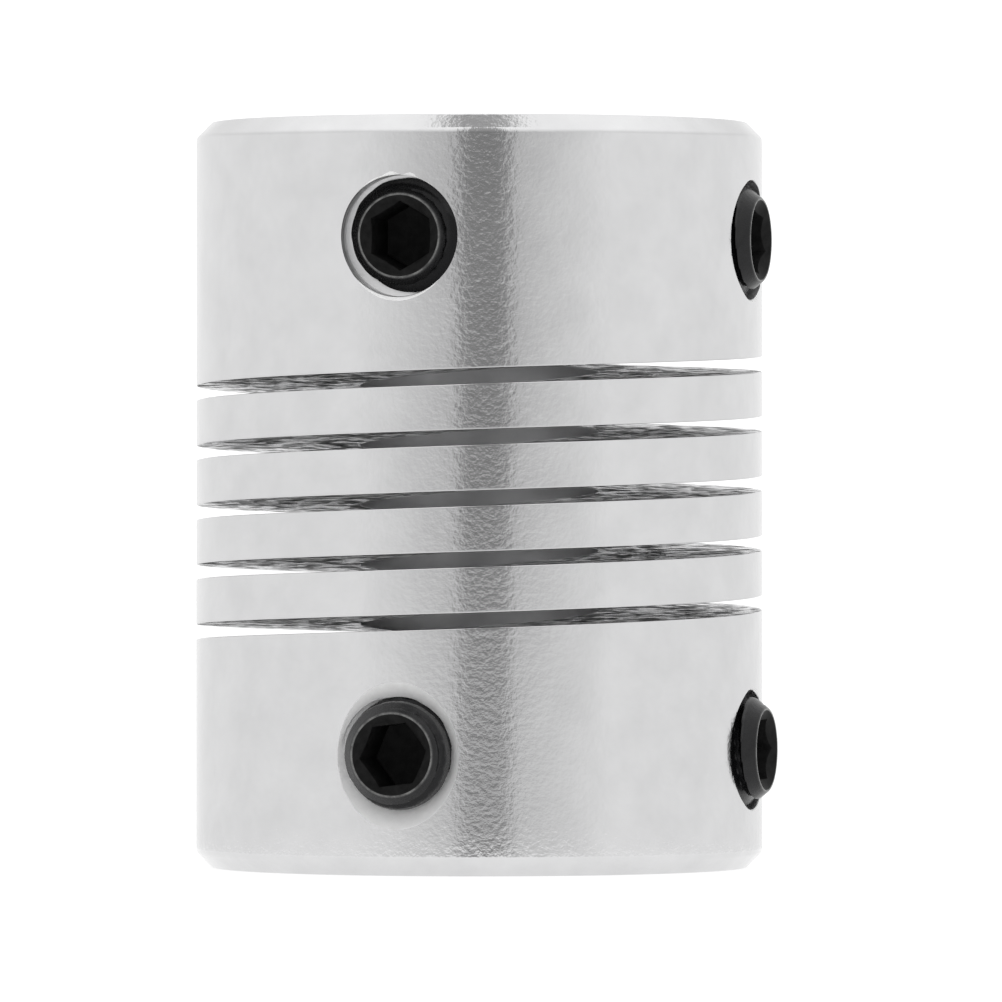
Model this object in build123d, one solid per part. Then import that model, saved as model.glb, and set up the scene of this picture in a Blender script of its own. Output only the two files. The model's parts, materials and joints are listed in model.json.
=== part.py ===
from build123d import *
from math import atan2, degrees, pi
import os

os.makedirs("parts", exist_ok=True)

# Single-beam flexible shaft coupling: a slotted sleeve and four set screws.
# Millimetres. +Z is the shaft axis and z = 0 is the lower end face.
# Azimuths are degrees seen from above: 0 is -Y, 90 is +X.

# Sleeve
BODY_DIA = 19.0
BODY_LENGTH = 25.0
END_CHAMFER = 0.6
MOUTH_CHAMFER = 0.4
LOWER_BORE_DIA = 5.0
UPPER_BORE_DIA = 8.0
LOWER_BORE_DEPTH = 7.0

# Helical slot and the beam that it leaves
SLOT_PITCH = 2.0
SLOT_WIDTH = 0.5
SLOT_TURNS = 5.0
SLOT_END_AZIMUTH = 214.0
SLOT_START_Z = 7.5
BEAM_HEIGHT = SLOT_PITCH - SLOT_WIDTH
BEAM_TURNS = SLOT_TURNS - 1.0
SAW_DIA = 20.0

# The beam is divided into rigid lengths that flex against each other
COIL_COUNT = 5
COIL_SPAN = 360.0 * BEAM_TURNS / COIL_COUNT
FLEX_GAP = 1.2
TWIST_GAP = 2.4
TWIST_INTERFACE = 3
RADIAL_MARGIN = 1.5

# Set screws, M4 x 5 with a cup point
SCREW_DIA = 3.92
SCREW_LENGTH = 5.0
TAPPED_DIA = 4.0
SINK_DIAS = {"lower": 4.9, "upper": 4.3}
SCREW_HEIGHTS = {"lower": 4.0, "upper": 21.0}
SCREW_AZIMUTHS = {"front": 0.0, "right": 90.0}
PROTRUSION = {
    ("lower", "front"): 0.7,
    ("lower", "right"): 0.5,
    ("upper", "front"): -0.15,
    ("upper", "right"): 0.3,
}
HEX_TURN = {
    ("lower", "front"): 37.0,
    ("lower", "right"): 32.0,
    ("upper", "front"): 0.0,
    ("upper", "right"): 12.0,
}
HEX_ACROSS_FLATS = 2.0
HEX_DEPTH = 2.0
HEX_SINK_DIA = 2.7
SCREW_END_CHAMFER = 0.5
CUP_DIA = 2.0
CUP_DEPTH = 0.5
TIP_LENGTH = 1.2
SWIVEL_GAP = 0.02

BODY_R = BODY_DIA / 2
BEAM_INNER_R = UPPER_BORE_DIA / 2
SLOT_HALF = SLOT_WIDTH / 2
SLOT_END_Z = SLOT_START_Z + SLOT_PITCH * SLOT_TURNS
BEAM_START_Z = SLOT_START_Z + SLOT_PITCH / 2


def at_azimuth(azimuth, radius=0.0, z=0.0):
    """Frame on an azimuth whose local +X points outwards."""
    return Pos(0, 0, z) * Rot(0, 0, azimuth - 90) * Pos(radius, 0, 0)


def cylinder_between(radius, z_low, z_high):
    """Upright cylinder on the shaft axis, with its seam at -X, clear of the screw holes."""
    return Pos(0, 0, z_low) * Rot(0, 0, 180) * Cylinder(
        radius, z_high - z_low, align=(Align.CENTER, Align.CENTER, Align.MIN)
    )


def helical_band(azimuth, z, turns, height):
    """Strip on the slot's helix, wider than the sleeve wall, centred on z at its start."""
    inner = BEAM_INNER_R - RADIAL_MARGIN
    outer = BODY_R + RADIAL_MARGIN
    mean = (inner + outer) / 2
    path = Helix(SLOT_PITCH, SLOT_PITCH * turns, mean)
    profile = Plane.XZ * Pos(mean, 0) * Rectangle(outer - inner, height)
    return at_azimuth(azimuth, z=z) * sweep(profile, path=path, is_frenet=True)


def ramp_cutters(azimuth, z_edge, side):
    """Two half-turn bands that leave one helical ramp from z_edge, cut to the given side."""
    height = SLOT_PITCH + SLOT_WIDTH
    bands = []
    for half in range(2):
        z = z_edge + side * height / 2 + SLOT_PITCH * half / 2
        bands.append(helical_band(azimuth + 180 * half, z, 0.5, height))
    return bands


def saw_runout(z, side):
    """Half disc where the saw leaves the slot's end, on the given side of the azimuth."""
    centre_r = BEAM_INNER_R + SAW_DIA / 2
    lead_angle = degrees(atan2(SLOT_PITCH, pi * BODY_DIA))
    disc = Cylinder(SAW_DIA / 2, SLOT_WIDTH)
    half_space = Pos(0, side * SAW_DIA / 2, 0) * Box(SAW_DIA, SAW_DIA, SAW_DIA)
    return at_azimuth(SLOT_END_AZIMUTH, centre_r, z) * Rot(lead_angle, 0, 0) * (disc & half_space)


def screw_hole(azimuth, z, sink_dia):
    """Tapped hole from the axis outwards with its 90 degree countersink."""
    reach = BODY_R + RADIAL_MARGIN
    hole = Cylinder(TAPPED_DIA / 2, reach, align=(Align.CENTER, Align.CENTER, Align.MIN))
    depth = (sink_dia - TAPPED_DIA) / 2
    sink_length = depth + RADIAL_MARGIN
    sink = Pos(0, 0, BODY_R - depth) * Cone(
        TAPPED_DIA / 2,
        TAPPED_DIA / 2 + sink_length,
        sink_length,
        align=(Align.CENTER, Align.CENTER, Align.MIN),
    )
    return at_azimuth(azimuth, z=z) * Rot(0, 90, 0) * (hole + sink)


def hub(name):
    """One clamping end of the sleeve, up to the helical slot."""
    if name == "lower":
        z_low, z_high = 0.0, SLOT_START_Z - SLOT_HALF + SLOT_PITCH
        bore = cylinder_between(LOWER_BORE_DIA / 2, -1, z_high + 1)
        bore += cylinder_between(BEAM_INNER_R, LOWER_BORE_DEPTH, z_high + 1)
        cutters = ramp_cutters(SLOT_END_AZIMUTH, SLOT_START_Z - SLOT_HALF, 1)
        cutters.append(saw_runout(SLOT_START_Z, -1))
    else:
        z_low, z_high = SLOT_END_Z + SLOT_HALF - SLOT_PITCH, BODY_LENGTH
        bore = cylinder_between(BEAM_INNER_R, z_low - 1, z_high + 1)
        cutters = ramp_cutters(SLOT_END_AZIMUTH, z_low, -1)
        cutters.append(saw_runout(SLOT_END_Z, 1))
    end_z = z_low if name == "lower" else z_high
    blank = cylinder_between(BODY_R, z_low, z_high)
    rim = [e for e in blank.edges().filter_by(GeomType.CIRCLE) if abs(e.center().Z - end_z) < 0.01]
    solid = chamfer(rim, END_CHAMFER) - bore
    mouth = [
        e
        for e in solid.edges().filter_by(GeomType.CIRCLE)
        if abs(e.center().Z - end_z) < 0.01 and e.radius < BODY_R - 2 * END_CHAMFER
    ]
    solid = chamfer(mouth, MOUTH_CHAMFER)
    for cutter in cutters:
        solid = solid - cutter
    for azimuth in SCREW_AZIMUTHS.values():
        solid = solid - screw_hole(azimuth, SCREW_HEIGHTS[name], SINK_DIAS[name])
    return solid


def interface_gap(index):
    """Angle kept free between two lengths of beam, or a beam and a hub."""
    return TWIST_GAP if index == TWIST_INTERFACE else FLEX_GAP


def coil(index):
    """One length of the helical beam, from interface index - 1 to interface index."""
    start = COIL_SPAN * (index - 1)
    end = COIL_SPAN * index
    start += interface_gap(index - 1) * (1.0 if index == 1 else 0.5)
    end -= interface_gap(index) * (1.0 if index == COIL_COUNT else 0.5)
    z = BEAM_START_Z + SLOT_PITCH * start / 360
    band = helical_band(SLOT_END_AZIMUTH + start, z, (end - start) / 360, BEAM_HEIGHT)
    wall = cylinder_between(BODY_R, 0, BODY_LENGTH) - cylinder_between(BEAM_INNER_R, 0, BODY_LENGTH)
    return wall & band


def screw_shank(hex_turn):
    """Threaded length with the hex socket; local z = 0 is the tip, +Z points outwards."""
    base = TIP_LENGTH + SWIVEL_GAP
    shank = Pos(0, 0, base) * Cylinder(
        SCREW_DIA / 2, SCREW_LENGTH - base, align=(Align.CENTER, Align.CENTER, Align.MIN)
    )
    shank = chamfer(shank.edges().sort_by(Axis.Z)[-1], SCREW_END_CHAMFER)
    socket = extrude(
        RegularPolygon(HEX_ACROSS_FLATS / 2, 6, major_radius=False, rotation=hex_turn), HEX_DEPTH
    )
    sink_depth = (HEX_SINK_DIA - HEX_ACROSS_FLATS) / 2
    sink = Pos(0, 0, SCREW_LENGTH - sink_depth / 2) * Cone(
        HEX_ACROSS_FLATS / 2, HEX_SINK_DIA / 2, sink_depth
    )
    return shank - Pos(0, 0, SCREW_LENGTH - HEX_DEPTH) * socket - sink


def screw_tip():
    """Cup point, the part that bites the shaft; local z = 0 is the cup's rim."""
    radius = SCREW_DIA / 2
    cup_r = CUP_DIA / 2
    rim = (cup_r, 0)
    shoulder = (radius, radius - cup_r)
    outline = Polyline((0, CUP_DEPTH), rim, shoulder, (radius, TIP_LENGTH), (0, TIP_LENGTH), close=True)
    return revolve(Plane.XZ * make_face(outline), Axis.Z)


def place_screw(level, side, shape):
    """Put a screw piece in its hole with the right protrusion."""
    tip_r = BODY_R + PROTRUSION[level, side] - SCREW_LENGTH
    frame = at_azimuth(SCREW_AZIMUTHS[side], tip_r, SCREW_HEIGHTS[level])
    return frame * Rot(0, 90, 0) * shape


for level in SCREW_HEIGHTS:
    export_step(hub(level), f"parts/{level}_hub.step")

for number in range(1, COIL_COUNT + 1):
    export_step(coil(number), f"parts/coil_{number}.step")

for level, side in PROTRUSION:
    shank = place_screw(level, side, screw_shank(HEX_TURN[level, side]))
    tip = place_screw(level, side, screw_tip())
    export_step(shank, f"parts/{level}_{side}_screw.step")
    export_step(tip, f"parts/{level}_{side}_screw_tip.step")
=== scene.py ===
import json
from math import cos, pi, radians, sin

import bpy
import numpy as np
from mathutils import Matrix, Vector


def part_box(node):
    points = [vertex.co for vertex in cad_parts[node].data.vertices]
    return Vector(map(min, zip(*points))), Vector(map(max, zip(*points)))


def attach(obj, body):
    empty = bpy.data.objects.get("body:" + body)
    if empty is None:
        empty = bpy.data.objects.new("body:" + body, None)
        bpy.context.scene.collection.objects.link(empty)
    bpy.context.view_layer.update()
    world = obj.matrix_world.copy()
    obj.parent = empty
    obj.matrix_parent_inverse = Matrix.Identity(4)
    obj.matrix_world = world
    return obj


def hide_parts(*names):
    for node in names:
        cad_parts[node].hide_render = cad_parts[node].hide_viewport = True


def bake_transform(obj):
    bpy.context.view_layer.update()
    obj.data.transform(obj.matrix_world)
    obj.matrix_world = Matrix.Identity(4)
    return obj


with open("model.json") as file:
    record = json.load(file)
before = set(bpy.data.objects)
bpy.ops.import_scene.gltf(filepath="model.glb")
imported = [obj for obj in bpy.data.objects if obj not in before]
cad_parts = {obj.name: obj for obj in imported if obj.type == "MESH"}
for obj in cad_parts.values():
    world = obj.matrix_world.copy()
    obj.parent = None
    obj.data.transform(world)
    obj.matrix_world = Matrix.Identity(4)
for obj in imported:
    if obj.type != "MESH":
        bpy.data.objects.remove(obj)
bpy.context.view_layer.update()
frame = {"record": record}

# Lengths are millimetres until a mesh is made, and angles are degrees. An azimuth is seen from above:
# 0 is -Y and 90 is +X, as in the CAD.
MM = 0.001
HUB_LOW, HUB_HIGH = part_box("upper_hub")
BODY_R = (HUB_HIGH.x - HUB_LOW.x) / 2 / MM
BODY_LENGTH = HUB_HIGH.z / MM
MOUNTS = {mount["name"]: mount for mount in frame["record"]["mounts"]}
BORE_R = {level: MOUNTS[f"{level}_bore"]["dims"]["r_mm"] for level in ("lower", "upper")}
MOUTH_CHAMFER = 0.4
END_CHAMFER = 0.53
LOWER_BORE_DEPTH = 7.0

# Helical slot and beam
SLOT_PITCH = 2.0
SLOT_WIDTH = 0.5
SLOT_END_AZIMUTH = 214.0
SLOT_START_Z = 7.5
SLOT_TURNS = 5
SLOT_END_Z = SLOT_START_Z + SLOT_PITCH * SLOT_TURNS
BEAM_START_Z = SLOT_START_Z + SLOT_PITCH / 2
BEAM_HALF = (SLOT_PITCH - SLOT_WIDTH) / 2
SAW_R = 10.0

# The beam's bodies, the degrees of beam on each coil, and the degrees and reach of the bend at each joint
BODIES = ["lower_hub", "coil_1", "coil_2", "coil_3", "coil_4", "coil_5", "upper_hub"]
COIL_COUNT = 5
COIL_SPAN = 288
BEND_SPAN = 180

# Radii of the sleeve's rounded edges
BORE_EDGE = 0.03
SLOT_EDGE = 0.035
STEP_EDGE = 0.05
MOUTH_EDGE = 0.06
FACE_EDGE = 0.12
SKIN_EDGE = 0.25
# A loop this far from each rounded edge keeps the flat walls' shading flat.
LOOP_GAP = 0.03
HUB_STATIONS = 360

# Set screws
THREAD_PITCH = 0.7
THREAD_R = 1.96
THREAD_ROOT_R = 1.53
CREST_HALF = 0.0625
FLANK_SPAN = 0.3125
NUT_CLEARANCE = 0.045
ROWS_PER_PITCH = 20
AROUND = 96
NUT_CREST_R = 1.65
NUT_ROOT_R = 2.0
RELIEF_R = 1.995
SCREW_LENGTH = 5.0
FACE_R = 1.4
SOCKET_SINK_R = 1.33
THREAD_START_R = 1.72
THREAD_START_DEPTH = 0.4
CUP_R = 1.0
HEX_HALF = 1.0
SOCKET_FLOOR_Z = 3.0
RIM_WAVE = 0.008
BURR_SPREAD = 0.35
# sink_r is the countersink's radius at the skin and sink_shift moves it (mm, degrees) off the hole's centre.
# burr (mm, degrees) is the ragged length of its rim. Both angles run from straight down towards the right.
# slope is the sink's radius per depth, relief how deep the hole's first turns are worn away, and run_in the
# depth at which the screw's own thread is full.
SCREWS = {
    "lower_front": {
        "azimuth": 0.0, "hex_turn": 37.0, "sink_r": 2.42, "relief": 0.0, "slope": 1.5, "run_in": 1.5,
        "sink_shift": (0.08, -50.0), "burr": (0.01, 300.0),
    },
    "lower_right": {
        "azimuth": 90.0, "hex_turn": 32.0, "sink_r": 2.05, "relief": 0.8, "slope": 1.0, "run_in": 1.0,
        "sink_shift": (0.02, 120.0), "burr": (0.01, 160.0),
    },
    "upper_front": {
        "azimuth": 0.0, "hex_turn": 0.0, "sink_r": 2.10, "relief": 0.8, "slope": 1.0, "run_in": 0.55,
        "sink_shift": (0.04, -30.0), "burr": (0.05, 165.0),
    },
    "upper_right": {
        "azimuth": 90.0, "hex_turn": 12.0, "sink_r": 2.05, "relief": 0.8, "slope": 1.0, "run_in": 0.8,
        "sink_shift": (0.02, 0.0), "burr": (0.02, 200.0),
    },
}

CAMERA_AZIMUTH = 16.4
CAMERA_DISTANCE = 360.0
CAMERA_LENS = 385.0
CAMERA_SHIFT = (0.0217, -0.006)
NEAR_FLOOR_R = 22.0
FAR_FLOOR_R = 1500.0


def outward(azimuth):
    return Vector((sin(radians(azimuth)), -cos(radians(azimuth)), 0.0))


def tangent(azimuth):
    return Vector((cos(radians(azimuth)), sin(radians(azimuth)), 0.0))


# ---------------------------------------------------------------- materials


class Nodes:
    """A short way to write a node tree."""

    def __init__(self, tree):
        self.tree = tree
        tree.nodes.clear()

    def add(self, kind, settings=None, **inputs):
        node = self.tree.nodes.new(kind)
        for name, value in (settings or {}).items():
            setattr(node, name, value)
        for name, value in inputs.items():
            self.put(node, name.replace("_", " "), value)
        return node

    def put(self, node, name, value):
        socket = node.inputs[int(name[1:])] if name[0] == "i" and name[1:].isdigit() else node.inputs[name]
        if isinstance(value, bpy.types.NodeSocket):
            self.tree.links.new(value, socket)
        else:
            socket.default_value = value

    def math(self, operation, a, b=0.0, clamp=False):
        node = self.add("ShaderNodeMath", {"operation": operation, "use_clamp": clamp}, i0=a, i1=b)
        return node.outputs[0]

    def noise(self, vector, scale, detail=3.0, roughness=0.5):
        node = self.add(
            "ShaderNodeTexNoise", None, Vector=vector, Scale=scale, Detail=detail, Roughness=roughness
        )
        return node.outputs["Fac"]

    def ramp(self, value, stops, interpolation="LINEAR"):
        node = self.add("ShaderNodeValToRGB", None, Fac=value)
        node.color_ramp.interpolation = interpolation
        elements = node.color_ramp.elements
        while len(elements) < len(stops):
            elements.new(0.5)
        for element, (place, level) in zip(elements, stops):
            element.position = place
            element.color = (*level, 1) if isinstance(level, tuple) else (level, level, level, 1)
        return node.outputs["Color"]


def new_material(name):
    material = bpy.data.materials.new(name)
    material.use_nodes = True
    nodes = Nodes(material.node_tree)
    shader = nodes.add("ShaderNodeBsdfPrincipled")
    nodes.add("ShaderNodeOutputMaterial", None, Surface=shader.outputs[0])
    return material, nodes, shader


def turned_aluminium():
    """Tumbled satin aluminium: fine mottle, faint turning lines round the axis."""
    material, nodes, shader = new_material("satin_aluminium")
    place = nodes.add("ShaderNodeTexCoord").outputs["Object"]
    stretched = nodes.add("ShaderNodeMapping", None, Vector=place, Scale=(0.25, 0.25, 1.0)).outputs[0]
    mottle = nodes.noise(place, 5300, 2.0, 0.6)
    grain = nodes.noise(place, 14000, 2.0, 0.6)
    lines = nodes.noise(stretched, 9000, 2.0, 0.5)
    patches = nodes.noise(place, 700, 3.0, 0.55)
    tone = nodes.ramp(patches, [(0.3, (0.655, 0.655, 0.66)), (0.7, (0.705, 0.705, 0.71))])
    nodes.put(shader, "Base Color", tone)
    shader.inputs["Metallic"].default_value = 1.0
    rough = nodes.math("MULTIPLY_ADD", mottle, 0.07)
    rough.node.inputs[2].default_value = 0.09
    nodes.put(shader, "Roughness", rough)
    height = nodes.math("ADD", mottle, nodes.math("MULTIPLY", grain, 0.12))
    height = nodes.math("ADD", height, nodes.math("MULTIPLY", lines, 0.15))
    bump = nodes.add("ShaderNodeBump", None, Strength=1.0, Distance=0.0000075, Height=height)
    nodes.put(shader, "Normal", bump.outputs[0])
    return material


def sawn_aluminium():
    """Rougher faces inside the slot, torn and smeared by the saw."""
    material, nodes, shader = new_material("sawn_aluminium")
    place = nodes.add("ShaderNodeTexCoord").outputs["Object"]
    stretched = nodes.add("ShaderNodeMapping", None, Vector=place, Scale=(1.0, 1.0, 2.5)).outputs[0]
    tears = nodes.noise(stretched, 1500, 4.0, 0.65)
    grit = nodes.noise(place, 6000, 3.0, 0.6)
    tone = nodes.ramp(tears, [(0.40, (0.16, 0.16, 0.162)), (0.55, (0.84, 0.84, 0.85))])
    nodes.put(shader, "Base Color", tone)
    shader.inputs["Metallic"].default_value = 1.0
    nodes.put(shader, "Roughness", nodes.ramp(tears, [(0.42, 0.48), (0.56, 0.17)]))
    height = nodes.math("ADD", tears, nodes.math("MULTIPLY", grit, 0.4))
    bump = nodes.add("ShaderNodeBump", None, Strength=1.0, Distance=0.00002, Height=height)
    nodes.put(shader, "Normal", bump.outputs[0])
    return material


def bored_aluminium():
    """The bore's wall: dull, with faint rings from boring."""
    material, nodes, shader = new_material("bored_aluminium")
    place = nodes.add("ShaderNodeTexCoord").outputs["Object"]
    stretched = nodes.add("ShaderNodeMapping", None, Vector=place, Scale=(0.2, 0.2, 1.0)).outputs[0]
    rings = nodes.noise(stretched, 9000, 2.0, 0.5)
    tone = nodes.ramp(nodes.noise(place, 900), [(0.35, (0.72, 0.72, 0.725)), (0.65, (0.80, 0.80, 0.805))])
    nodes.put(shader, "Base Color", tone)
    shader.inputs["Metallic"].default_value = 1.0
    shader.inputs["Roughness"].default_value = 0.34
    bump = nodes.add("ShaderNodeBump", None, Strength=1.0, Distance=0.000006, Height=rings)
    nodes.put(shader, "Normal", bump.outputs[0])
    return material


def cut_aluminium():
    """Finely scored countersink of a tapped hole, near-white and mostly non-metallic: its brightness is
    partly fresh cut metal and partly painted highlight.
    """
    material, nodes, shader = new_material("cut_aluminium")
    place = nodes.add("ShaderNodeTexCoord").outputs["Object"]
    scores = nodes.noise(place, 3200, 4.0, 0.65)
    # Partly painted highlight: the near-white tone with little metal keeps the countersink bright from any
    # side. Fresh cut aluminium is also truly brighter than the skin.
    tone = nodes.ramp(scores, [(0.3, (0.90, 0.90, 0.90)), (0.6, (0.97, 0.97, 0.97))])
    nodes.put(shader, "Base Color", tone)
    shader.inputs["Metallic"].default_value = 0.15
    shader.inputs["Roughness"].default_value = 0.42
    bump = nodes.add("ShaderNodeBump", None, Strength=1.0, Distance=0.00001, Height=scores)
    nodes.put(shader, "Normal", bump.outputs[0])
    return material


def socket_painted_shade():
    """A darker, duller copy of the black oxide inside the hexagon socket: painted shade for the recess."""
    material, nodes, shader = new_material("socket_black_oxide")
    place = nodes.add("ShaderNodeTexCoord").outputs["Object"]
    # Painted shade: the socket's walls and floor are darker and reflect less than the same oxide outside.
    tone = nodes.ramp(nodes.noise(place, 3500), [(0.35, 0.004), (0.65, 0.010)])
    nodes.put(shader, "Base Color", tone)
    shader.inputs["Roughness"].default_value = 0.55
    shader.inputs["Specular IOR Level"].default_value = 0.12
    grain = nodes.noise(place, 6000)
    bump = nodes.add("ShaderNodeBump", None, Strength=1.0, Distance=0.000008, Height=grain)
    nodes.put(shader, "Normal", bump.outputs[0])
    return material


def black_oxide():
    """Blackened steel, slightly oily, with grey along its edges that is partly bare metal from wear and
    partly painted highlight.
    """
    material, nodes, shader = new_material("black_oxide_steel")
    place = nodes.add("ShaderNodeTexCoord").outputs["Object"]
    worn = nodes.add("ShaderNodeAttribute", {"attribute_name": "worn"}).outputs["Fac"]
    blotches = nodes.noise(place, 2600, 3.0, 0.6)
    grain = nodes.noise(place, 9000, 2.0, 0.5)
    # The grey on the edges and on the face's ring is partly wear and partly painted highlight where light
    # would catch them.
    grey_wear_and_highlight = nodes.math("MULTIPLY", worn, nodes.ramp(blotches, [(0.25, 0.4), (0.6, 1.0)]))
    oxide, rubbed_and_faint_highlight, bare_metal_and_highlight = (0.010, 0.010, 0.011), (0.07, 0.07, 0.07), (0.24, 0.24, 0.235)
    tone = nodes.ramp(grey_wear_and_highlight, [(0.0, oxide), (0.5, rubbed_and_faint_highlight), (1.0, bare_metal_and_highlight)])
    nodes.put(shader, "Base Color", tone)
    shader.inputs["Metallic"].default_value = 0.5
    shader.inputs["Specular IOR Level"].default_value = 0.4
    rough = nodes.math("MULTIPLY_ADD", grain, 0.16)
    rough.node.inputs[2].default_value = 0.20
    nodes.put(shader, "Roughness", rough)
    height = nodes.math("ADD", blotches, grain)
    bump = nodes.add("ShaderNodeBump", None, Strength=1.0, Distance=0.000006, Height=height)
    nodes.put(shader, "Normal", bump.outputs[0])
    return material


ALUMINIUM = turned_aluminium()
SAWN = sawn_aluminium()
CUT_PAINTED_HIGHLIGHT = cut_aluminium()
BORED = bored_aluminium()
BLACK = black_oxide()
SOCKET_PAINTED_SHADE = socket_painted_shade()
SLEEVE_MATERIALS = (ALUMINIUM, SAWN, CUT_PAINTED_HIGHLIGHT, BORED)
SKIN_FACE, SAWN_FACE, CUT_FACE, BORED_FACE = range(4)

# ---------------------------------------------------------------- mesh tools


def mesh_object(name, points, faces, materials=(), sharp=35.0):
    """An object from points in millimetres, smooth except where faces meet more sharply."""
    mesh = bpy.data.meshes.new(name)
    mesh.from_pydata((np.asarray(points) * MM).tolist(), [], faces)
    mesh.shade_smooth()
    mesh.set_sharp_from_angle(angle=radians(sharp))
    for material in materials:
        mesh.materials.append(material)
    piece = bpy.data.objects.new(name, mesh)
    bpy.context.scene.collection.objects.link(piece)
    return piece


def rounded_outline(corners, steps=4):
    """Outline points (r, z, on_slot) with each corner (r, z, radius, on_slot) turned to an arc."""
    outline = []
    for i, (r, z, radius, on_slot) in enumerate(corners):
        here = np.array((r, z))
        before = np.array(corners[i - 1][:2]) - here
        after = np.array(corners[(i + 1) % len(corners)][:2]) - here
        before /= np.linalg.norm(before)
        after /= np.linalg.norm(after)
        if radius == 0:
            outline.append((r, z, on_slot))
            continue
        half = np.arccos(np.clip(before @ after, -1, 1)) / 2
        middle = (before + after) / np.linalg.norm(before + after)
        centre = here + middle * radius / np.sin(half)
        start = here + before * radius / np.tan(half) - centre
        end = here + after * radius / np.tan(half) - centre
        turn = np.arctan2(start[0] * end[1] - start[1] * end[0], start @ end)
        lead = before * radius / np.tan(half) + before * LOOP_GAP + here
        outline.append((lead[0], lead[1], on_slot))
        for step in range(steps + 1):
            angle = turn * step / steps
            x = start[0] * cos(angle) - start[1] * sin(angle)
            y = start[0] * sin(angle) + start[1] * cos(angle)
            outline.append((centre[0] + x, centre[1] + y, on_slot))
        trail = after * radius / np.tan(half) + after * LOOP_GAP + here
        outline.append((trail[0], trail[1], on_slot))
    return outline


def polar(r, azimuth, z):
    return (r * sin(radians(azimuth)), -r * cos(radians(azimuth)), z)


def hub_mesh(name, corners, step_up):
    """A turned hub whose slot face climbs one pitch per turn from the slot's end.

    step_up is True where the wall is longer at the end of the turn than at its start.
    """
    stations = HUB_STATIONS
    outline = rounded_outline(corners)
    count = len(outline)
    points = []
    index = {}
    for i in range(stations + 1):
        azimuth = SLOT_END_AZIMUTH + 360.0 * i / stations
        for k, (r, z, on_slot) in enumerate(outline):
            if i == stations and not on_slot:
                index[i, k] = index[0, k]
                continue
            index[i, k] = len(points)
            points.append(polar(r, azimuth, z + SLOT_PITCH * i / stations * on_slot))
    faces = []
    for i in range(stations):
        for k in range(count):
            n = (k + 1) % count
            loop = [index[i, k], index[i + 1, k], index[i + 1, n], index[i, n]]
            if outline[k][2] != outline[n][2]:
                slot_k = k if outline[k][2] else n
                if step_up and i == stations - 1:
                    loop.insert(2, index[0, slot_k])
                if not step_up and i == 0:
                    loop.append(index[stations, slot_k])
            faces.append(loop)
    on_slot = [k for k in range(count) if outline[k][2]]
    faces.append([index[0, k] for k in on_slot] + [index[stations, k] for k in reversed(on_slot)])
    return mesh_object(name, points, faces, SLEEVE_MATERIALS)


def thread_radius(phase, crest, root, clearance=0.0):
    """Radius of a 60 degree thread; phase counts turns of the helix, with a crest at 0."""
    off_crest = np.abs((phase + 0.5) % 1.0 - 0.5)
    flank = THREAD_R - (THREAD_R - THREAD_ROOT_R) * (off_crest - CREST_HALF) / FLANK_SPAN
    return np.clip(flank + clearance, root, crest)


def tip_radius(name):
    """Distance of a screw's point from the shaft axis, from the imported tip."""
    low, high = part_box(f"{name}_screw_tip")
    return -high.y / MM if name.endswith("front") else low.x / MM


def screw_height(name):
    low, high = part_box(f"{name}_screw_tip")
    return (low.z + high.z) / 2 / MM


def hole_frame(name, radius):
    """Frame on a screw's axis: +Z outwards, +X down, +Y along increasing azimuth."""
    azimuth = SCREWS[name]["azimuth"]
    out, along = outward(azimuth), tangent(azimuth)
    turn = Matrix(((0, along.x, out.x), (0, along.y, out.y), (-1, 0, 0))).to_4x4()
    return Matrix.Translation((out * radius + Vector((0, 0, screw_height(name)))) * MM) @ turn


def ring_mesh(name, rings, angles, poles, materials):
    """Closed mesh through rings of (radius, height) arrays, with a point at each end."""
    count = len(angles)
    points = [(0, 0, poles[0])]
    for radius, height in rings:
        radius = np.broadcast_to(radius, count)
        height = np.broadcast_to(height, count)
        points += list(zip(radius * np.cos(angles), radius * np.sin(angles), height))
    points.append((0, 0, poles[1]))
    last = len(points) - 1
    faces = []
    for j in range(count):
        n = (j + 1) % count
        faces.append((0, 1 + n, 1 + j))
        for i in range(len(rings) - 1):
            a, b = 1 + i * count, 1 + (i + 1) * count
            faces.append((a + j, a + n, b + n, b + j))
        top = 1 + (len(rings) - 1) * count
        faces.append((top + j, top + n, last))
    return mesh_object(name, points, faces, materials, 30.0)


def rim_burr(name, angles):
    """Unevenness of a countersink's rim: slight all round and ragged along one length."""
    depth, direction = SCREWS[name]["burr"]
    draw = np.random.default_rng(len(name) + int(direction))
    wave = sum(np.cos(k * angles + draw.uniform(0, 2 * pi)) * draw.uniform(0.2, 1.0) / k for k in range(2, 7))
    ragged = sum(np.cos(k * angles + draw.uniform(0, 2 * pi)) * draw.uniform(0.2, 0.6) for k in range(11, 21))
    near = np.exp(-(((angles - radians(direction) + pi) % (2 * pi) - pi) ** 2) / BURR_SPREAD)
    return RIM_WAVE * wave + depth * near * ragged


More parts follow.
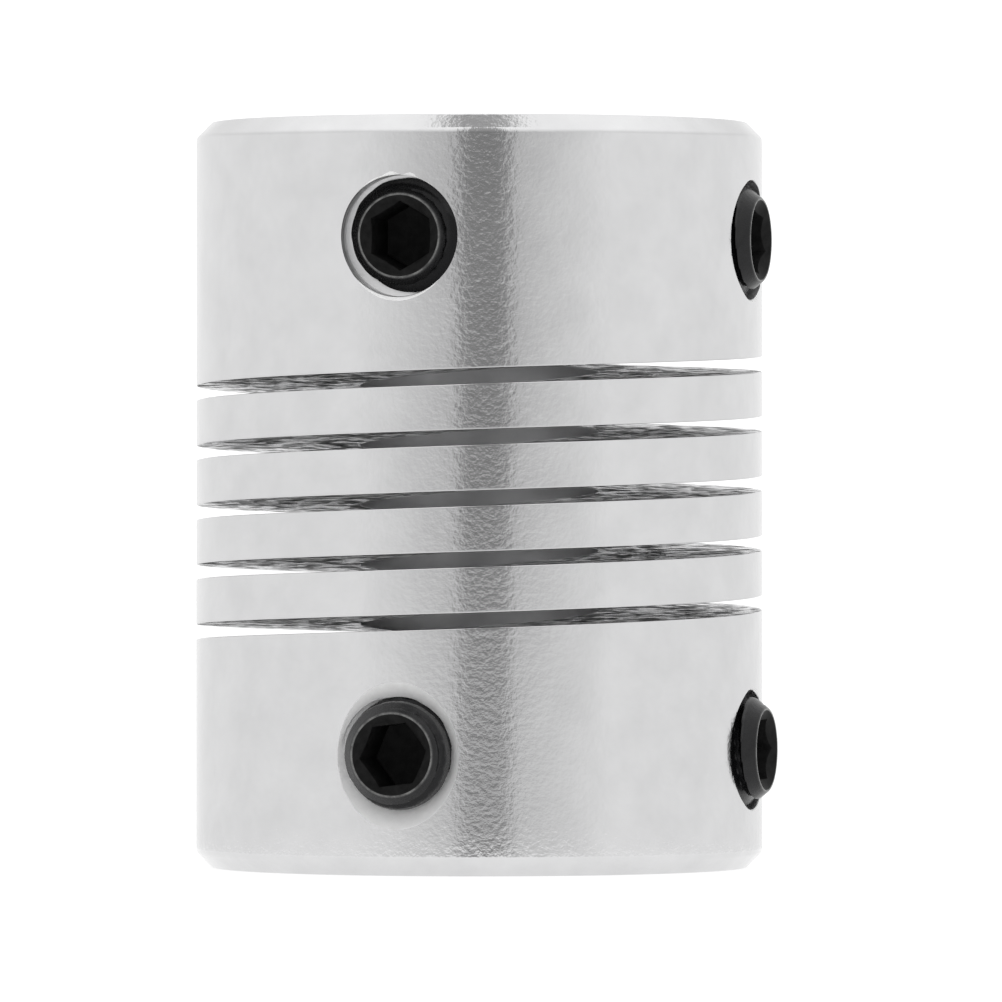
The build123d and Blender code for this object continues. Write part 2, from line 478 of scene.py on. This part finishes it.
def tapped_cutter(name):
    """The space that a tapped, countersunk hole takes out of a hub."""
    angles = np.linspace(0, 2 * pi, AROUND, endpoint=False)
    level = name.split("_")[0]
    tip = tip_radius(name)
    rows = np.arange(BORE_R[level] - 1.2, BODY_R + 0.9, THREAD_PITCH / ROWS_PER_PITCH)
    shift, direction = SCREWS[name]["sink_shift"]
    slope = SCREWS[name]["slope"]
    rim = SCREWS[name]["sink_r"] + shift * np.cos(angles - radians(direction)) + rim_burr(name, angles)
    rings = []
    for z in rows:
        phase = (z - tip) / THREAD_PITCH - angles / (2 * pi)
        thread = thread_radius(phase, NUT_ROOT_R, NUT_CREST_R, NUT_CLEARANCE)
        worn_r = RELIEF_R if z > BODY_R - SCREWS[name]["relief"] else 0.0
        rings.append((np.maximum(np.maximum(thread, worn_r), rim + slope * (z - BODY_R)), z))
    cutter = ring_mesh("cutter", rings, angles, (rows[0], rows[-1]), SLEEVE_MATERIALS)
    hole_r = RELIEF_R if SCREWS[name]["relief"] > 0 else NUT_CREST_R
    cone_depth = (SCREWS[name]["sink_r"] - hole_r) / slope
    for face in cutter.data.polygons:
        in_cone = face.center.z / MM > BODY_R - cone_depth
        # The cone takes the cut finish, whose near-white tone is partly painted highlight.
        face.material_index = CUT_FACE if in_cone else BORED_FACE
    cutter.matrix_world = hole_frame(name, 0.0)
    return cutter


def runout_cutter(z, side):
    """Half disc where the saw leaves an end of the slot, on one side of that azimuth."""
    arc = np.radians(np.linspace(0, 180, 61)) * side
    rim = [(SAW_R * cos(a), SAW_R * sin(a)) for a in arc]
    points = [(x, y, -SLOT_WIDTH / 2) for x, y in rim] + [(x, y, SLOT_WIDTH / 2) for x, y in rim]
    count = len(rim)
    top = list(range(count, 2 * count))
    bottom = list(range(count))[::-1]
    faces = [top, bottom]
    for i in range(count):
        n = (i + 1) % count
        faces.append((i, n, count + n, count + i))
    if side < 0:
        faces = [face[::-1] for face in faces]
    cutter = mesh_object("cutter", points, faces)
    out, along = outward(SLOT_END_AZIMUTH), tangent(SLOT_END_AZIMUTH)
    lead = np.arctan2(SLOT_PITCH, 2 * pi * BODY_R)
    turn = Matrix(((out.x, along.x, 0), (out.y, along.y, 0), (0, 0, 1))).to_4x4()
    centre = out * (BORE_R["upper"] + SAW_R) + Vector((0, 0, z))
    cutter.matrix_world = Matrix.Translation(centre * MM) @ turn @ Matrix.Rotation(lead, 4, "X")
    return cutter


def cut(piece, cutters):
    """Take the cutters out of a piece and delete them."""
    for cutter in cutters:
        modifier = piece.modifiers.new("cut", "BOOLEAN")
        modifier.operation = "DIFFERENCE"
        modifier.solver = "EXACT"
        modifier.object = cutter
    bpy.context.view_layer.update()
    graph = bpy.context.evaluated_depsgraph_get()
    mesh = bpy.data.meshes.new_from_object(piece.evaluated_get(graph))
    piece.modifiers.clear()
    piece.data = mesh
    mesh.shade_smooth()
    mesh.set_sharp_from_angle(angle=radians(20))
    for cutter in cutters:
        bpy.data.objects.remove(cutter)


# ---------------------------------------------------------------- sleeve


def paint_inside(piece, z_low, z_high):
    """Give the slot's faces between two heights the sawn finish, and bore walls their own."""
    for face in piece.data.polygons:
        centre = face.center / MM
        r = Vector((centre.x, centre.y)).length
        if face.material_index != SKIN_FACE:
            continue
        if r < BORE_R["upper"] + 0.01 and abs(face.normal.z) < 0.3:
            face.material_index = BORED_FACE
        elif z_low < centre.z < z_high and r < BODY_R - 0.02 and abs(face.normal.z) > 0.5:
            face.material_index = SAWN_FACE


def lower_hub():
    bore = BORE_R["lower"]
    top = SLOT_START_Z - SLOT_WIDTH / 2
    corners = [
        (bore + MOUTH_CHAMFER, 0, MOUTH_EDGE, 0),
        (BODY_R - END_CHAMFER, 0, FACE_EDGE, 0),
        (BODY_R, END_CHAMFER, SKIN_EDGE, 0),
        (BODY_R, top, SLOT_EDGE, 1),
        (BORE_R["upper"], top, BORE_EDGE, 1),
        (BORE_R["upper"], LOWER_BORE_DEPTH, 0, 0),
        (bore, LOWER_BORE_DEPTH, STEP_EDGE, 0),
        (bore, MOUTH_CHAMFER, MOUTH_EDGE, 0),
    ]
    piece = hub_mesh("lower_hub_body", corners, True)
    cut(piece, [tapped_cutter("lower_front"), tapped_cutter("lower_right"), runout_cutter(SLOT_START_Z, -1)])
    paint_inside(piece, LOWER_BORE_DEPTH + 0.1, BODY_LENGTH)
    return piece


def upper_hub():
    bore = BORE_R["upper"]
    bottom = SLOT_END_Z + SLOT_WIDTH / 2 - SLOT_PITCH
    corners = [
        (bore, bottom, BORE_EDGE, 1),
        (BODY_R, bottom, SLOT_EDGE, 1),
        (BODY_R, BODY_LENGTH - END_CHAMFER, SKIN_EDGE, 0),
        (BODY_R - END_CHAMFER, BODY_LENGTH, FACE_EDGE, 0),
        (bore + MOUTH_CHAMFER, BODY_LENGTH, MOUTH_EDGE, 0),
        (bore, BODY_LENGTH - MOUTH_CHAMFER, MOUTH_EDGE, 0),
    ]
    piece = hub_mesh("upper_hub_body", corners, False)
    cut(piece, [tapped_cutter("upper_front"), tapped_cutter("upper_right"), runout_cutter(SLOT_END_Z, 1)])
    paint_inside(piece, 0.0, SLOT_END_Z + SLOT_PITCH)
    return piece


def beam_piece(name, start, end):
    """A length of the helical beam, from start to end degrees along it."""
    inner = BORE_R["upper"]
    corners = [
        (inner, -BEAM_HALF, BORE_EDGE, 0),
        (BODY_R, -BEAM_HALF, SLOT_EDGE, 0),
        (BODY_R, BEAM_HALF, SLOT_EDGE, 0),
        (inner, BEAM_HALF, BORE_EDGE, 0),
    ]
    outline = rounded_outline(corners)
    count = len(outline)
    stations = int(end - start)
    points = []
    for i in range(stations + 1):
        along = start + (end - start) * i / stations
        z = BEAM_START_Z + SLOT_PITCH * along / 360
        points += [polar(r, SLOT_END_AZIMUTH + along, z + dz) for r, dz, _ in outline]
    faces = [list(range(count)), list(range(stations * count, (stations + 1) * count))[::-1]]
    for i in range(stations):
        for k in range(count):
            n = (k + 1) % count
            a, b = i * count, (i + 1) * count
            faces.append((a + k, b + k, b + n, a + n))
    piece = mesh_object(name, points, faces, SLEEVE_MATERIALS)
    paint_inside(piece, 0.0, BODY_LENGTH)
    return piece


def build_beam():
    """Rigid lengths ride on one coil each; a half-turn length spans each joint, baked in place and attached
    to no body.
    """
    interfaces = [COIL_SPAN * i for i in range(COIL_COUNT + 1)]
    interfaces[0] += BEND_SPAN // 2
    interfaces[-1] -= BEND_SPAN // 2
    edge = 0
    for i, centre in enumerate(interfaces):
        before, after = BODIES[i], BODIES[i + 1]
        low, high = centre - BEND_SPAN // 2, centre + BEND_SPAN // 2
        if low > edge:
            rigid = beam_piece(f"beam_{before}", edge, low)
            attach(rigid, before)
            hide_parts(before)
        bend = beam_piece(f"beam_bend_{i + 1}", low, high)
        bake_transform(bend)
        edge = high


# ---------------------------------------------------------------- screws


def screw_piece(name):
    """A cup-point set screw with its thread, chamfers and hexagon socket."""
    hex_turn = radians(SCREWS[name]["hex_turn"])
    angles = hex_turn + np.linspace(0, 2 * pi, AROUND, endpoint=False)
    sixth = (angles - hex_turn) % (pi / 3) - pi / 6
    hexagon = HEX_HALF / np.cos(sixth)
    rings = [(0.5, 0.25), (0.94, 0.03), (CUP_R, 0.0), (CUP_R + 0.05, 0.03)]
    # Per-ring amount of edge grey, partly wear and partly painted highlight: the cup's rim, the crests where
    # the thread meets the chamfer, and the face's ring round the socket.
    worn = [0, 0.1, 0.5, 0.3]
    worn = [np.full(len(angles), value) for value in worn]
    for z in np.arange(0.06, SCREW_LENGTH - 0.03, THREAD_PITCH / ROWS_PER_PITCH):
        depth = SCREW_LENGTH - z
        start = np.interp(
            depth,
            (0, THREAD_START_DEPTH, SCREWS[name]["run_in"]),
            (FACE_R, THREAD_START_R, THREAD_R),
        )
        thread = thread_radius(z / THREAD_PITCH - angles / (2 * pi), THREAD_R, THREAD_ROOT_R)
        radius = np.minimum(thread, min(CUP_R + z, start))
        rings.append((radius, z))
        on_thread = depth > THREAD_START_DEPTH
        worn.append(np.where(radius >= start - 0.02, 0.22, 0.0) if on_thread else 0.05 * radius)
    sink_z = SCREW_LENGTH - (SOCKET_SINK_R - hexagon) * 0.8
    rings += [(FACE_R, SCREW_LENGTH - 0.012), (FACE_R - 0.015, SCREW_LENGTH)]
    rings += [(SOCKET_SINK_R + 0.015, SCREW_LENGTH), (SOCKET_SINK_R, SCREW_LENGTH - 0.012)]
    socket_start = len(rings) - 1
    rings += [(hexagon, sink_z), (hexagon * 0.99, sink_z - 0.03)]
    rings += [(hexagon * 0.98, SOCKET_FLOOR_Z), (hexagon * 0.85, SOCKET_FLOOR_Z - 0.05)]
    # The face's ring round the socket gets the most grey: painted highlight as well as wear.
    worn += [np.full(len(angles), value) for value in (0.5, 0.85, 0.85, 0.5, 0.0, 0.0, 0.0, 0.0)]
    piece = ring_mesh(f"{name}_set_screw", rings, angles, (0.5, 2.7), (BLACK, SOCKET_PAINTED_SHADE))
    attribute = piece.data.attributes.new("worn", "FLOAT", "POINT")
    attribute.data.foreach_set("value", np.concatenate([[0.0], np.concatenate(worn), [0.0]]))
    # The socket's faces take the painted-shade copy of the oxide.
    first = 1 + socket_start * len(angles)
    for face in piece.data.polygons:
        face.material_index = int(min(face.vertices) >= first)
    piece.matrix_world = hole_frame(name, tip_radius(name))
    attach(piece, f"{name}_screw")
    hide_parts(f"{name}_screw", f"{name}_screw_tip")


# ---------------------------------------------------------------- studio


def ring_floor(name, inner, outer, material):
    """A flat ring on z = 0, or a disc where inner is 0."""
    count = 128
    turns = np.linspace(0, 2 * pi, count, endpoint=False)
    points = [(outer * cos(t), outer * sin(t), 0) for t in turns]
    if inner == 0:
        return mesh_object(name, points, [tuple(range(count))], (material,))
    points += [(inner * cos(t), inner * sin(t), 0) for t in turns]
    faces = [(i, (i + 1) % count, count + (i + 1) % count, count + i) for i in range(count)]
    return mesh_object(name, points, faces, (material,))


def make_floor():
    """A white light table. Gloss sees only the near part, so the sleeve's streaks run to its foot."""
    material, nodes, shader = new_material("light_table")
    place = nodes.add("ShaderNodeTexCoord").outputs["Object"]
    tone = nodes.ramp(nodes.noise(place, 40.0), [(0.0, 0.22), (1.0, 0.26)])
    nodes.put(shader, "Base Color", tone)
    shader.inputs["Roughness"].default_value = 0.8
    shader.inputs["Specular IOR Level"].default_value = 0.0
    shader.inputs["Emission Color"].default_value = (1.0, 1.0, 1.0, 1.0)
    shader.inputs["Emission Strength"].default_value = 0.86
    near = ring_floor("floor_near", 0, NEAR_FLOOR_R, material)
    far = ring_floor("floor_far", NEAR_FLOOR_R, FAR_FLOOR_R, material)
    far.visible_glossy = False


# The tent's wall is evenly bright, with one dim gap that the camera looks in through. Beside the gap the wall
# starts dimmer and reaches its full brightness TENT_FADE degrees from the gap, the same on both sides.
TENT_LEVEL = 1.0
BESIDE_GAP = 0.6
GAP_LEVEL = 0.25
GAP_CENTRE = 2.0
GAP_HALF_WIDTH = 8.0
GAP_EDGE = 4.0
TENT_FADE = 45.0
# The roof brightens towards the top, with a small dim hole overhead: (height, level).
ROOF = [(0.30, 0.70), (0.85, 1.0), (0.985, 1.0), (0.9965, 0.33)]


def about_gap(stops):
    """Ramp stops from (degrees off the gap's centre, level) pairs, mirrored to the other side."""
    both = [(-offset, level) for offset, level in reversed(stops)] + stops
    return [(0.5 + (GAP_CENTRE + offset) / 360, level) for offset, level in both]


def make_world():
    """A white light tent, with a dark gap where the camera looks in and a small one overhead."""
    world = bpy.data.worlds.new("light_tent")
    bpy.context.scene.world = world
    world.use_nodes = True
    nodes = Nodes(world.node_tree)
    direction = nodes.add("ShaderNodeTexCoord").outputs["Generated"]
    to_camera = radians(90 - CAMERA_AZIMUTH)
    about_z = {"rotation_type": "Z_AXIS"}
    turned = nodes.add("ShaderNodeVectorRotate", about_z, Vector=direction, Angle=to_camera)
    parts = nodes.add("ShaderNodeSeparateXYZ", None, Vector=turned.outputs[0])
    azimuth = nodes.math("ARCTAN2", parts.outputs["Y"], parts.outputs["X"])
    share = nodes.math("MULTIPLY_ADD", azimuth, 1 / (2 * pi))
    share.node.inputs[2].default_value = 0.5
    gap_end = GAP_HALF_WIDTH + GAP_EDGE
    wall = [(GAP_HALF_WIDTH, GAP_LEVEL), (gap_end, BESIDE_GAP), (GAP_HALF_WIDTH + TENT_FADE, TENT_LEVEL)]
    tent = nodes.ramp(share, about_gap(wall))
    # The gap's azimuths stay dim up to the zenith and brighten a little below the horizon.
    in_gap = nodes.ramp(share, about_gap([(GAP_HALF_WIDTH, 1.0), (gap_end, 0.0)]))
    high = nodes.ramp(parts.outputs["Z"], [(0.12, 0.0), (0.45, 1.0)], "EASE")
    cover = nodes.math("MULTIPLY", high, nodes.math("MULTIPLY_ADD", in_gap, -0.85))
    cover.node.inputs[1].links[0].from_node.inputs[2].default_value = 1.0
    roof = nodes.ramp(parts.outputs["Z"], ROOF)
    foot = nodes.add("ShaderNodeMapRange", None, Value=parts.outputs["Z"])
    for place, value in enumerate((-0.004, -0.04, 0.0, 0.5), 1):
        foot.inputs[place].default_value = value
    bright = nodes.add("ShaderNodeMix", {"data_type": "RGBA", "blend_type": "MULTIPLY"})
    bright.inputs[0].default_value = 1.0
    nodes.tree.links.new(roof, bright.inputs[6])
    bright.inputs[7].default_value = (1.22, 1.22, 1.22, 1)
    mixed = nodes.add("ShaderNodeMix", {"data_type": "RGBA"})
    nodes.tree.links.new(cover, mixed.inputs[0])
    lifted = nodes.add("ShaderNodeMix", {"data_type": "RGBA"})
    nodes.tree.links.new(foot.outputs[0], lifted.inputs[0])
    nodes.tree.links.new(tent, lifted.inputs[6])
    lifted.inputs[7].default_value = (0.95, 0.95, 0.95, 1)
    nodes.tree.links.new(lifted.outputs[2], mixed.inputs[6])
    nodes.tree.links.new(bright.outputs[2], mixed.inputs[7])
    lit = nodes.add("ShaderNodeBackground", None, Color=mixed.outputs[2])
    plain = nodes.add("ShaderNodeBackground", None, Color=(1.2, 1.2, 1.2, 1))
    seen = nodes.add("ShaderNodeLightPath").outputs["Is Camera Ray"]
    both = nodes.add("ShaderNodeMixShader", None, Fac=seen, i1=lit.outputs[0], i2=plain.outputs[0])
    nodes.add("ShaderNodeOutputWorld", None, Surface=both.outputs[0])


def make_camera():
    camera = bpy.data.objects.new("camera", bpy.data.cameras.new("camera"))
    bpy.context.scene.collection.objects.link(camera)
    out = outward(CAMERA_AZIMUTH)
    camera.location = (out * CAMERA_DISTANCE + Vector((0, 0, BODY_LENGTH / 2))) * MM
    camera.rotation_euler = (-out).to_track_quat("-Z", "Y").to_euler()
    camera.data.lens = CAMERA_LENS
    camera.data.shift_x, camera.data.shift_y = CAMERA_SHIFT
    camera.data.clip_start = 0.01
    bpy.context.scene.camera = camera


make_camera()
make_world()
make_floor()
for hub_name, hub_piece in (("lower_hub", lower_hub()), ("upper_hub", upper_hub())):
    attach(hub_piece, hub_name)
    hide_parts(hub_name)
build_beam()
for screw_name in SCREWS:
    screw_piece(screw_name)
bpy.context.scene.view_settings.view_transform = "Standard"
